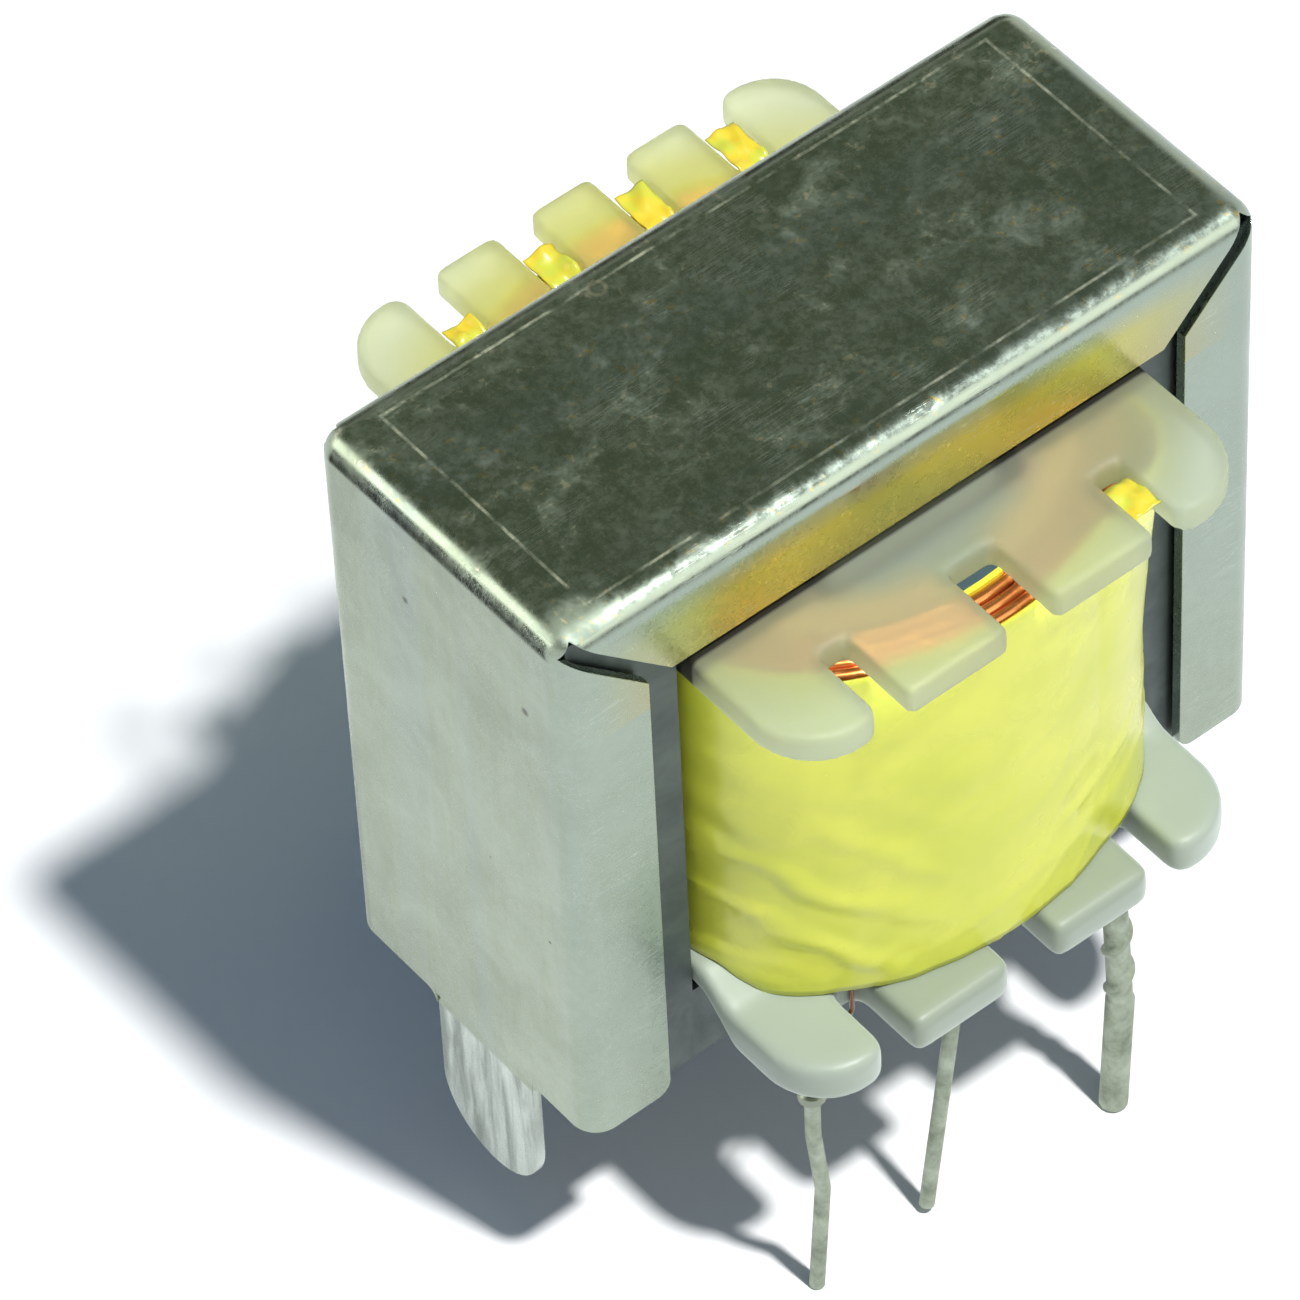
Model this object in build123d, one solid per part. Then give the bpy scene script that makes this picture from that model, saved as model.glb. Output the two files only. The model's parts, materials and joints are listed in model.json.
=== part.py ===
from build123d import *
import math
import os

# Small board-mounted transformer: a laminated steel core held in a folded tinplate frame, with a
# moulded bobbin, two copper windings under tape, five wire pins and two soldering lugs.
# Millimetres. The origin is the middle of the core's underside, which seats on the board.
# +Z is up, the three pins of the front stand at -Y and the lugs hang at -X and +X.

# Core of E and I plates
plate_thickness = 0.5
layer_count = 16
core_width = 19.4
core_height = 16.8
yoke_height = 2.4
side_leg_width = 3.0
middle_leg_width = 4.8

# Frame of folded sheet
sheet = 0.3
frame_slack = 0.12
bend_radius = 0.7
side_flange_width = 2.35
top_flange_depth = 2.65
mitre_gap = 0.48
mitre_web = 0.45
flange_corner_radius = 0.4
lug_width = 3.5
lug_length = 4.6
lug_shift = -0.4
lug_root_radius = 0.35
lug_coining = 0.05

# Bobbin
bore_clearance = 0.1
window_clearance = 0.08
flange_seat_clearance = 0.05
tube_wall = 0.6
tube_corner_radius = 0.5
flange_thickness = 0.8
rail_thickness = 1.15
rail_level = 1.4
rail_slope_run = 1.0
front_reach = 8.25
back_reach = 8.45
notch_depth = 2.2
end_notch_width = 0.8
end_notch_share = 0.597
middle_notch_width = 1.35
back_notch_width = 1.0
back_notch_shares = (-0.627, -0.209, 0.209, 0.627)
lobe_round_share = 0.74
lobe_inner_share = 0.2
tab_corner_radius = 0.2
rim_radius = 0.18

# Windings and tape
coil_straight = 6.0
tape_thickness = 0.15
coil_clearance = 0.22
coil_setback = 0.65
primary_share = 0.58

# Pins and leads
pin_diameter = 0.36
tinned_diameter = 0.38
tinned_level = 0.9
pin_fit = 0.02
pin_embed = 1.0
pin_inset = 0.95
pin_bend_radius = 0.8
pin_tip_level = -6.1
front_left_pin_share = -0.896
front_middle_pin_share = -0.242
front_right_pin_share = 0.483
back_pin_share = 0.846
front_left_kink_level = -0.4
front_left_elbow_level = -2.6
front_left_elbow_shift = 0.23
front_left_tip_shift = -0.04
front_middle_tip_shift = -1.0
front_middle_trim = 0.2
front_right_elbow_level = -2.5
front_right_elbow_shift = -0.05
front_right_elbow_lean = -0.3
front_right_tip_shift = -0.4
front_right_tip_lean = -0.48
back_left_tip_shift = -0.3
back_right_tip_shift = 0.26
fine_wire_diameter = 0.12
fine_wire_turns = 3
fine_wire_gap = 0.05
fine_wrap_diameter = 0.14
fine_bend_radius = 0.2
thick_wire_diameter = 0.32
thick_bend_radius = 0.3
drop_shift = 0.18
spiral_pitch = 1.3
spiral_radius = 0.24
solder_radius = 0.31
solder_foot_radius = 0.355

overrun = 1.0

# Sizes that follow from the ones above
stack_depth = plate_thickness * layer_count
window_width = (core_width - middle_leg_width) / 2 - side_leg_width
window_height = core_height - 2 * yoke_height
frame_width = core_width + 2 * (frame_slack + sheet)
frame_depth = stack_depth + 2 * (frame_slack + sheet)
frame_height = core_height + frame_slack + sheet
flange_half = core_width / 2 - side_leg_width - window_clearance
end_notch_place = end_notch_share * flange_half
back_end_notch_place = back_notch_shares[-1] * flange_half
front_left_pin_x = front_left_pin_share * flange_half
front_middle_pin_x = front_middle_pin_share * flange_half
front_right_pin_x = front_right_pin_share * flange_half
back_pin_x = back_pin_share * flange_half
window_floor = yoke_height + flange_seat_clearance
window_ceiling = core_height - yoke_height - flange_seat_clearance
coil_floor = window_floor + flange_thickness
coil_ceiling = window_ceiling - flange_thickness
rail_top = rail_level + rail_thickness
slope_start = stack_depth / 2 + 2 * bore_clearance
slope_end = slope_start + rail_slope_run
tube_half_width = middle_leg_width / 2 + bore_clearance + tube_wall
tube_half_depth = stack_depth / 2 + bore_clearance + tube_wall
pin_radius = pin_diameter / 2
tinned_radius = tinned_diameter / 2
front_pin_y = -(front_reach - pin_inset)
back_pin_y = back_reach - pin_inset
fine_wire_radius = fine_wire_diameter / 2
fine_wrap_radius = fine_wrap_diameter / 2
thick_wire_radius = thick_wire_diameter / 2
pin_top = rail_level + pin_embed


def save(name, solid):
    """Write one sub-part as its own STEP file."""
    export_step(solid, os.path.join("parts", name + ".step"))


def block(x_range, y_range, z_range):
    """Box between two corners, given as a low and a high value along each axis."""
    sizes = [high - low for low, high in (x_range, y_range, z_range)]
    middles = [(high + low) / 2 for low, high in (x_range, y_range, z_range)]
    return Pos(*middles) * Box(*sizes)


# Core

def e_outline(yoke_up):
    """Face of an E plate in the XZ plane, with its yoke at the top or at the bottom."""
    leg_end = core_height - yoke_height
    face = Pos(0, leg_end / 2) * Rectangle(core_width, leg_end)
    window_x = (middle_leg_width + window_width) / 2
    for side in (-1, 1):
        face -= Pos(side * window_x, yoke_height + window_height / 2) * Rectangle(window_width, window_height)
    if yoke_up:
        face = Pos(0, core_height) * mirror(face, Plane.XZ)
    return face


def i_outline(at_top):
    """Face of an I plate in the XZ plane, closing the open end of an E plate."""
    middle = core_height - yoke_height / 2 if at_top else yoke_height / 2
    return Pos(0, middle) * Rectangle(core_width, yoke_height)


def plate(face, layer):
    """One punched plate of the stack, counted from the front."""
    front = -stack_depth / 2 + layer * plate_thickness
    plane = Plane(origin=(0, front, 0), x_dir=(1, 0, 0), z_dir=(0, -1, 0))
    return extrude(plane * face, amount=-plate_thickness)


# Frame

def folded_box(half_width, half_depth, top, radius):
    """Upright box, open below, whose sides and top meet in bends of the given outer radius."""
    solid = block((-half_width, half_width), (-half_depth, half_depth), (-overrun, top))
    bends = solid.edges().filter_by(Axis.Z) + solid.edges().group_by(Axis.Z)[-1]
    return fillet(bends, radius)


def mitre_slot(side, face):
    """Gap on the 45 degree line between a side flange and the top flange at one corner."""
    reach = side_flange_width * 2
    slot = Box(reach, bend_radius + overrun, mitre_gap)
    slot = Pos(reach / 2 + mitre_web, 0, 0) * slot
    slot = Rot(0, 45, 0) * slot
    slot = Pos(-frame_width / 2, -frame_depth / 2 - overrun / 2 + bend_radius / 2, frame_height) * slot
    if side > 0:
        slot = mirror(slot, Plane.YZ)
    if face > 0:
        slot = mirror(slot, Plane.XZ)
    return slot


def lug(side):
    """Soldering lug under one side wall: full round at its end and coined thinner from its root."""
    straight = lug_length - lug_width / 2
    face = Pos(0, -straight / 2 + overrun / 2) * Rectangle(lug_width, straight + overrun)
    face += Pos(0, -straight) * Circle(lug_width / 2)
    wall_face = frame_width / 2 - lug_coining
    plane = Plane(origin=(side * wall_face, lug_shift, 0), x_dir=(0, side, 0), z_dir=(side, 0, 0))
    solid = extrude(plane * face, amount=-(sheet - lug_coining))
    return solid - block((-frame_width, frame_width), (-frame_depth, frame_depth), (0, 2 * overrun))


def lug_root(side):
    """Small fillet that runs from the back edge of the lug into the wall's bottom edge."""
    corner = lug_shift + lug_width / 2
    face = Pos(lug_root_radius / 2, -lug_root_radius / 2) * Rectangle(lug_root_radius, lug_root_radius)
    face -= Pos(lug_root_radius, -lug_root_radius) * Circle(lug_root_radius)
    plane = Plane(origin=(frame_width / 2, corner, 0), x_dir=(0, 1, 0), z_dir=(1, 0, 0))
    solid = extrude(plane * face, amount=-sheet)
    return mirror(solid, Plane.YZ) if side < 0 else solid


def frame():
    """Folded channel round the core, with flanges in front and behind, and two lugs."""
    outer = folded_box(frame_width / 2, frame_depth / 2, frame_height, bend_radius)
    inner = folded_box(frame_width / 2 - sheet, frame_depth / 2 - sheet, frame_height - sheet,
                       bend_radius - sheet)
    shell = outer - inner
    opening_half = frame_width / 2 - side_flange_width
    opening_top = frame_height - top_flange_depth
    shell -= block((-opening_half, opening_half), (-frame_depth, frame_depth), (-2 * overrun, opening_top))
    shell -= block((-frame_width, frame_width), (-frame_depth, frame_depth), (-2 * overrun, 0))
    for side in (-1, 1):
        for face in (-1, 1):
            shell -= mitre_slot(side, face)
    corners = [edge for edge in shell.edges().filter_by(Axis.Y).group_by(Axis.Z)[0]
               if abs(abs(edge.center().X) - opening_half) < sheet / 2]
    shell = fillet(corners, flange_corner_radius)
    for side in (-1, 1):
        shell += lug(side)
        shell += lug_root(side)
    return shell


# Bobbin

def flange_outline():
    """Plan of both flanges: rounded lobes at the ends, square tabs between, notches for the leads."""
    front = [(-end_notch_place, end_notch_width), (0, middle_notch_width), (end_notch_place, end_notch_width)]
    back = [(share * flange_half, back_notch_width) for share in back_notch_shares]
    face = Pos(0, (back_reach - front_reach) / 2) * Rectangle(2 * flange_half, front_reach + back_reach)
    for side, row, reach, notches in ((-1, 0, front_reach, front), (1, -1, back_reach, back)):
        last_x, last_width = notches[-1]
        lobe_width = flange_half - last_x - last_width / 2
        face = fillet(face.vertices().group_by(Axis.Y)[row], lobe_width * lobe_round_share)
        for x, width in notches:
            middle = side * (reach + (overrun - notch_depth) / 2)
            face -= Pos(x, middle) * Rectangle(width, notch_depth + overrun)
        mouths = face.vertices().group_by(Axis.Y)[row].sort_by(Axis.X)
        face = fillet(mouths[2:-2], tab_corner_radius)
        mouths = face.vertices().group_by(Axis.Y)[row].sort_by(Axis.X)
        face = fillet([mouths[1], mouths[-2]], lobe_width * lobe_inner_share)
    return face


def bottom_profile():
    """Side profile of the bottom flange: level in the core's window, stepped down to the rails."""
    points = [(-2 * front_reach, rail_level), (-slope_end, rail_level), (-slope_start, window_floor),
              (slope_start, window_floor), (slope_end, rail_level), (2 * back_reach, rail_level),
              (2 * back_reach, rail_top), (slope_end, rail_top), (slope_start, coil_floor),
              (-slope_start, coil_floor), (-slope_end, rail_top), (-2 * front_reach, rail_top)]
    return make_face(Polyline(*points, close=True))


def bobbin():
    """Moulded bobbin: rectangular tube, two notched flanges and the rails that take the pins."""
    outline = flange_outline()
    top = extrude(Pos(0, 0, coil_ceiling) * outline, amount=flange_thickness)
    top = fillet(top.edges().group_by(Axis.Z)[-1], rim_radius)
    profile_plane = Plane(origin=(-2 * flange_half, 0, 0), x_dir=(0, 1, 0), z_dir=(1, 0, 0))
    bottom = extrude(profile_plane * bottom_profile(), amount=4 * flange_half)
    bottom &= extrude(outline, amount=core_height)
    tube_plan = RectangleRounded(2 * tube_half_width, 2 * tube_half_depth, tube_corner_radius)
    tube = extrude(Pos(0, 0, window_floor) * tube_plan, amount=window_ceiling - window_floor)
    solid = top + bottom + tube
    bore_half = middle_leg_width / 2 + bore_clearance
    bore_depth = stack_depth / 2 + bore_clearance
    solid -= block((-bore_half, bore_half), (-bore_depth, bore_depth), (0, core_height))
    for x, y in pin_places().values():
        solid -= Pos(x, y, rail_level + pin_embed / 2) * Cylinder(pin_radius + pin_fit, pin_embed)
    return solid


# Windings

def coil_outline(half_width, bulge):
    """Plan of a layer: straight sides in the windows and half an ellipse in front and behind."""
    side = coil_straight / 2
    face = Rectangle(2 * half_width, coil_straight)
    ellipse = Ellipse(half_width, bulge - side)
    return face + Pos(0, side) * ellipse + Pos(0, -side) * ellipse


def coil_layers():
    """Outlines from the tube outwards, each as the name of what ends there and its face."""
    tube = RectangleRounded(2 * tube_half_width, 2 * tube_half_depth, tube_corner_radius)
    half, bulge = tube_half_width, tube_half_depth
    build_room = flange_half - coil_clearance - half - 2 * tape_thickness
    bulge_room = front_reach - coil_setback - bulge - 2 * tape_thickness
    faces = [("tube", tube)]
    for name, build, extra in (("primary_winding", primary_share * build_room, primary_share * bulge_room),
                               ("layer_tape", tape_thickness, tape_thickness),
                               ("secondary_winding", (1 - primary_share) * build_room,
                                (1 - primary_share) * bulge_room),
                               ("outer_tape", tape_thickness, tape_thickness)):
        half, bulge = half + build, bulge + extra
        faces.append((name, coil_outline(half, bulge)))
    return faces


def winding(outer, inner, floor, ceiling):
    """One layer of the coil as a ring between two outlines."""
    return extrude(Pos(0, 0, floor) * (outer - inner), amount=ceiling - floor)


def outer_tape_ring(outer, inner):
    """Outer tape, deeper in front and behind, where the bottom flange is stepped down to the rails."""
    ring = winding(outer, inner, rail_top, coil_ceiling)
    return ring - block((-flange_half, flange_half), (-slope_end, slope_end), (rail_top, coil_floor))


# Pins and leads

def pin_places():
    """Where each pin enters the bottom flange's rail."""
    return {
        "pin_front_left": (front_left_pin_x, front_pin_y),
        "pin_front_middle": (front_middle_pin_x, front_pin_y),
        "pin_front_right": (front_right_pin_x, front_pin_y),
        "pin_back_left": (-back_pin_x, back_pin_y),
        "pin_back_right": (back_pin_x, back_pin_y),
    }


def pin_routes():
    """Centre line of each pin, from its blind hole in the rail to its cut tip."""
    routes = {}
    for name, (x, y) in pin_places().items():
        start = (x, y, pin_top)
        root = (x, y, rail_level - pin_radius)
        if name == "pin_front_left":
            rest = [(x, y, front_left_kink_level),
                    (x + front_left_elbow_shift, y, front_left_elbow_level),
                    (x + front_left_tip_shift, y, pin_tip_level)]
        elif name == "pin_front_middle":
            rest = [root, (x + front_middle_tip_shift, y, pin_tip_level + front_middle_trim)]
        elif name == "pin_front_right":
            rest = [root,
                    (x + front_right_elbow_shift, y + front_right_elbow_lean, front_right_elbow_level),
                    (x + front_right_tip_shift, y + front_right_tip_lean, pin_tip_level)]
        elif name == "pin_back_left":
            rest = [root, (x + back_left_tip_shift, y, pin_tip_level)]
        else:
            rest = [root, (x + back_right_tip_shift, y, pin_tip_level)]
        routes[name] = [start] + rest
    return routes


def wire(points, radius, bend):
    """Round wire along straight runs joined by tangent arcs."""
    if len(points) > 2:
        path = FilletPolyline(*points, radius=bend)
    else:
        path = Line(*points)
    return sweep(Plane(origin=path @ 0, z_dir=path % 0) * Circle(radius), path=path)


def split_route(points, level):
    """The stretches of a falling route above and below a level, which meet in one new point."""
    for number, (above, below) in enumerate(zip(points, points[1:])):
        if above[2] > level >= below[2]:
            share = (above[2] - level) / (above[2] - below[2])
            meeting = tuple(high + share * (low - high) for high, low in zip(above, below))
            return points[:number + 1] + [meeting], [meeting] + points[number + 1:]


def pin(points):
    """Wire pin, a little thicker from where it was dipped in solder down to its tip."""
    bare, tinned = split_route(points, tinned_level)
    return wire(bare, pin_radius, pin_bend_radius) + wire(tinned, tinned_radius, pin_bend_radius)


def drop_place(notch_x, toward, radius):
    """Where a lead falls through its notch, against the notch's inner end and behind the outer tape."""
    notch_end = (back_reach if toward > 0 else front_reach) - notch_depth
    return notch_x - math.copysign(drop_shift, notch_x), toward * (notch_end + fine_wire_gap + radius)


def fine_lead(notch_x, pin_x, pin_y):
    """Fine wire down through a notch, across under the rail, and wound a few times on the pin's root."""
    toward = math.copysign(1, pin_y)
    turn_centre = pin_radius + pin_fit + fine_wrap_radius
    run_y = pin_y - toward * turn_centre
    run_z = rail_level - fine_wire_gap - fine_wrap_radius
    drop_x, drop_y = drop_place(notch_x, toward, fine_wire_radius)
    points = [(drop_x, drop_y, coil_floor), (drop_x, drop_y, run_z), (pin_x, run_y, run_z)]
    solid = wire(points, fine_wire_radius, fine_bend_radius)
    height = fine_wire_turns * fine_wire_diameter
    turns = Pos(turn_centre, -height / 2 + fine_wrap_radius) * Rectangle(2 * fine_wrap_radius, height)
    outer_corners = turns.vertices().group_by(Axis.X)[-1]
    wrap = revolve(Plane.XZ * chamfer(outer_corners, fine_wire_radius), axis=Axis.Z)
    return solid + Pos(pin_x, pin_y, run_z) * wrap


def spiral_lead():
    """Thick lead down through the right notch, wound in a long spiral on its pin and soldered over."""
    route = pin_routes()["pin_front_right"]
    root, elbow, tip = [Vector(*point) for point in route[1:]]
    axis = (elbow - root).normalized()
    length = (elbow - root).length
    along = Plane(origin=root, x_dir=(1, 0, 0), z_dir=axis)
    helix = Helix(pitch=spiral_pitch, height=length, radius=spiral_radius)
    turns = sweep(Plane(origin=helix @ 0, z_dir=helix % 0) * Circle(thick_wire_radius), path=helix)
    solder = Pos(0, 0, length / 2) * Cylinder(solder_radius, length)
    lead = along * (turns + solder)
    lead += wire([elbow, tip], solder_foot_radius, pin_bend_radius)
    run_y = front_pin_y + pin_radius + thick_wire_radius
    run_z = rail_level - fine_wire_gap - thick_wire_radius
    drop_x, drop_y = drop_place(end_notch_place, math.copysign(1, front_pin_y), thick_wire_radius)
    drop = [(drop_x, drop_y, coil_floor), (drop_x, drop_y, run_z), (front_right_pin_x, run_y, run_z)]
    lead += wire(drop, thick_wire_radius, thick_bend_radius)
    return lead - wire(route, pin_radius + pin_fit, pin_bend_radius)


os.makedirs("parts", exist_ok=True)

for layer in range(layer_count):
    yoke_up = layer % 2 == 1
    save(f"e_plate_{layer + 1:02d}", plate(e_outline(yoke_up), layer))
    save(f"i_plate_{layer + 1:02d}", plate(i_outline(not yoke_up), layer))

save("frame", frame())
save("bobbin", bobbin())

faces = coil_layers()
for (inner_name, inner), (name, outer) in zip(faces, faces[1:]):
    if name == "outer_tape":
        save(name, outer_tape_ring(outer, inner))
    else:
        save(name, winding(outer, inner, coil_floor, coil_ceiling))

for name, points in pin_routes().items():
    save(name, pin(points))

save("lead_front_left", fine_lead(-end_notch_place, front_left_pin_x, front_pin_y))
save("lead_front_middle", fine_lead(0, front_middle_pin_x, front_pin_y))
save("lead_front_right", spiral_lead())
save("lead_back_left", fine_lead(-back_end_notch_place, -back_pin_x, back_pin_y))
save("lead_back_right", fine_lead(back_end_notch_place, back_pin_x, back_pin_y))
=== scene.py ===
import json
import math
import bmesh
import bpy
from mathutils import Matrix, Vector, noise


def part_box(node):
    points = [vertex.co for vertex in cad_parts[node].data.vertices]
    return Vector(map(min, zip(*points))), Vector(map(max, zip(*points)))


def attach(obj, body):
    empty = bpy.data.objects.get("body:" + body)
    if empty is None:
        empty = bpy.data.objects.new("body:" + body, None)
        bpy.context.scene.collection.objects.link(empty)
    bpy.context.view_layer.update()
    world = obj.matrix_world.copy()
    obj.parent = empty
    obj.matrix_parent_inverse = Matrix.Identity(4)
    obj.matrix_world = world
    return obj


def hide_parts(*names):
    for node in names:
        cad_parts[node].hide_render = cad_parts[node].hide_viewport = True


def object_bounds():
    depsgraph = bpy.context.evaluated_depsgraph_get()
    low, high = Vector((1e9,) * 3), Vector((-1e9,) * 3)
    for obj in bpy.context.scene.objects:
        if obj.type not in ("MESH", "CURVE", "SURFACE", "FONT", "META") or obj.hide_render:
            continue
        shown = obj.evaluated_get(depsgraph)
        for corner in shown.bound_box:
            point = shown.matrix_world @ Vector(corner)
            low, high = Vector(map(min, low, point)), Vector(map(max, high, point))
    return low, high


# A small board-mounted transformer, dressed over its CAD frame.
# Meshes are in metres (millimetres times mm), and materials read their positions in millimetres.
mm = 0.001

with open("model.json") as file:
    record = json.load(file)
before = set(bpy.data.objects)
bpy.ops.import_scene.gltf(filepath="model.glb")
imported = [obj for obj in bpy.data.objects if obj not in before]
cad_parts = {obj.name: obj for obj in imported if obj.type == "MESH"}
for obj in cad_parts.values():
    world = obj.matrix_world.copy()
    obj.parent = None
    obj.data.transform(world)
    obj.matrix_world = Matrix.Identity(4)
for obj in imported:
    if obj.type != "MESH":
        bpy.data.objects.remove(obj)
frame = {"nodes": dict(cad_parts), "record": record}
cadBox = [list(corner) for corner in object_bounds()]
nodes = frame["nodes"]
scene = bpy.context.scene
print("frame loaded:", len(nodes), "nodes")


# Camera

cameraView = {
    "azimuth": -36.829,      # degrees, from straight in front towards the left
    "elevation": 49.664,
    "roll": -3.062,
    "distance": 219.772 * mm,
    "aside": 3.723 * mm,     # how far the view axis passes the middle of the core's underside
    "above": -3.698 * mm,
    "focalPixels": 9320,
    "imagePixels": 1300,
    "sensor": 36,
    "near": 0.01,
    "far": 10,
}


def directionOf(azimuth, elevation):
    a, e = math.radians(azimuth), math.radians(elevation)
    return Vector((math.sin(a) * math.cos(e), -math.cos(a) * math.cos(e), math.sin(e)))


def placeCamera(view):
    back = directionOf(view["azimuth"], view["elevation"])
    level = Vector((0, 0, 1)).cross(back).normalized()
    upright = back.cross(level)
    roll = math.radians(view["roll"])
    right = level * math.cos(roll) + upright * math.sin(roll)
    up = upright * math.cos(roll) - level * math.sin(roll)
    data = bpy.data.cameras.new("viewCamera")
    data.sensor_width = view["sensor"]
    data.lens = view["sensor"] * view["focalPixels"] / view["imagePixels"]
    data.clip_start, data.clip_end = view["near"], view["far"]
    camera = bpy.data.objects.new("viewCamera", data)
    eye = back * view["distance"] - right * view["aside"] - up * view["above"]
    camera.matrix_world = Matrix.Translation(eye) @ Matrix((right, up, back)).transposed().to_4x4()
    scene.collection.objects.link(camera)
    scene.camera = camera


placeCamera(cameraView)
print("camera placed")


# Shader building blocks

def addNode(tree, kind, **settings):
    node = tree.nodes.new(kind)
    for name, value in settings.items():
        setattr(node, name, value)
    return node


# a number, a colour or another node's output into a socket
def plug(tree, value, socket):
    if isinstance(value, bpy.types.NodeSocket):
        tree.links.new(value, socket)
    else:
        socket.default_value = value


def maths(tree, operation, *values):
    node = addNode(tree, "ShaderNodeMath", operation=operation)
    for value, socket in zip(values, node.inputs):
        plug(tree, value, socket)
    return node.outputs[0]


def plus(tree, total, *others):
    for value in others:
        total = maths(tree, "ADD", total, value)
    return total


def times(tree, product, *others):
    for value in others:
        product = maths(tree, "MULTIPLY", product, value)
    return product


# sum of values, each times its share
def sumOfShares(tree, *pairs):
    return plus(tree, *[times(tree, value, share) for value, share in pairs])


def isAbove(tree, value, level):
    return maths(tree, "GREATER_THAN", value, level)


# map range, clamped
def spread(tree, value, low, high, outLow=0.0, outHigh=1.0):
    node = addNode(tree, "ShaderNodeMapRange", clamp=True)
    for number, item in enumerate((value, low, high, outLow, outHigh)):
        plug(tree, item, node.inputs[number])
    return node.outputs[0]


# 1 up to the low value, 0 from the high one
def fading(tree, value, low, high):
    return spread(tree, value, low, high, 1.0, 0.0)


def axisOf(tree, vector, axis):
    node = addNode(tree, "ShaderNodeSeparateXYZ")
    plug(tree, vector, node.inputs[0])
    return node.outputs["XYZ".index(axis)]


# how far a place lies from the middle plane across an axis
def fromMiddle(tree, position, axis):
    return maths(tree, "ABSOLUTE", axisOf(tree, position, axis))


def firstChannel(tree, colour):
    node = addNode(tree, "ShaderNodeSeparateColor")
    plug(tree, colour, node.inputs[0])
    return node.outputs[0]


def blendColours(tree, factor, first, second):
    node = addNode(tree, "ShaderNodeMix", data_type="RGBA")
    plug(tree, factor, node.inputs[0])
    plug(tree, first, node.inputs[6])    # 6 and 7 are its colour sockets
    plug(tree, second, node.inputs[7])
    return node.outputs[2]


# colours laid over one another in turn, each by its mask
def layered(tree, colour, *layers):
    for mask, over in layers:
        colour = blendColours(tree, mask, colour, over)
    return colour


def stretched(tree, vector, scale, turn=(0, 0, 0)):
    node = addNode(tree, "ShaderNodeMapping")
    plug(tree, vector, node.inputs["Vector"])
    node.inputs["Scale"].default_value = scale
    node.inputs["Rotation"].default_value = [math.radians(angle) for angle in turn]
    return node.outputs[0]


def noiseOf(tree, vector, scale, detail=3.0, rough=0.5, distortion=0.0):
    node = addNode(tree, "ShaderNodeTexNoise")
    plug(tree, vector, node.inputs["Vector"])
    plug(tree, scale, node.inputs["Scale"])
    node.inputs["Detail"].default_value = detail
    node.inputs["Roughness"].default_value = rough
    node.inputs["Distortion"].default_value = distortion
    return node.outputs[0]


def mixShaders(tree, factor, first, second):
    node = addNode(tree, "ShaderNodeMixShader")
    for value, socket in zip((factor, first, second), node.inputs):
        plug(tree, value, socket)
    return node.outputs[0]


# node group with named sockets; inputs as (name, socket type, default)
def newGroup(name, inputs, outputs):
    tree = bpy.data.node_groups.new(name, "ShaderNodeTree")
    for label, kind, default in inputs:
        socket = tree.interface.new_socket(label, in_out="INPUT", socket_type=kind)
        if default is not None:
            socket.default_value = default
    for label, kind in outputs:
        tree.interface.new_socket(label, in_out="OUTPUT", socket_type=kind)
    return tree, addNode(tree, "NodeGroupInput"), addNode(tree, "NodeGroupOutput")


# places a group in a tree; "Pit Scale" is given as pitScale
def useGroup(tree, group, **values):
    node = addNode(tree, "ShaderNodeGroup", node_tree=group)
    for socket in node.inputs:
        name = socket.name[0].lower() + socket.name[1:].replace(" ", "")
        if name in values:
            plug(tree, values[name], socket)
    return node


floatSocket, vectorSocket = "NodeSocketFloat", "NodeSocketVector"

# In all dictionaries below, a noise is its scale (unless that is given apart), detail, roughness and
# distortion, and a range says where a value or a noise begins to count and where it counts in full.
grainLook = {
    "along": (0.12, 1.6, 0.12), "streaks": (4.0, 0.65), "streakRange": (0.3, 0.7),
    "mottle": (4.0, 0.62, 0.6), "mottleRange": (0.34, 0.66),
}


# rolling streaks along the sheet and cloudy mottling of its tin
def makeRolledGrain(look):
    tree, given, out = newGroup("rolledGrain", [
        ("Position", vectorSocket, None), ("Streak Scale", floatSocket, 3.0),
        ("Mottle Scale", floatSocket, 0.5)], [("Streaks", floatSocket), ("Mottle", floatSocket)])
    along = stretched(tree, given.outputs["Position"], look["along"])
    streaks = noiseOf(tree, along, given.outputs["Streak Scale"], *look["streaks"])
    clouds = noiseOf(tree, given.outputs["Position"], given.outputs["Mottle Scale"], *look["mottle"])
    plug(tree, spread(tree, streaks, *look["streakRange"]), out.inputs["Streaks"])
    plug(tree, spread(tree, clouds, *look["mottleRange"]), out.inputs["Mottle"])
    return tree


marksLook = {
    "along": (0.35, 9.0, 5.0), "scratches": [((0, 0, 31), 1.0), ((20, 0, -52), 1.07)],    # turn and scale
    "scratch": (2.0, 0.5, 0.15), "halfValue": 0.5, "scratchWidth": 0.012,
    "patches": (0.55, 2.0), "patchRange": (0.5, 0.62),
    "chanceScale": 7.31, "pitSize": (1.7, 1.0), "pitLeast": 0.1, "pitRange": (0.03, 0.07),
}


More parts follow.
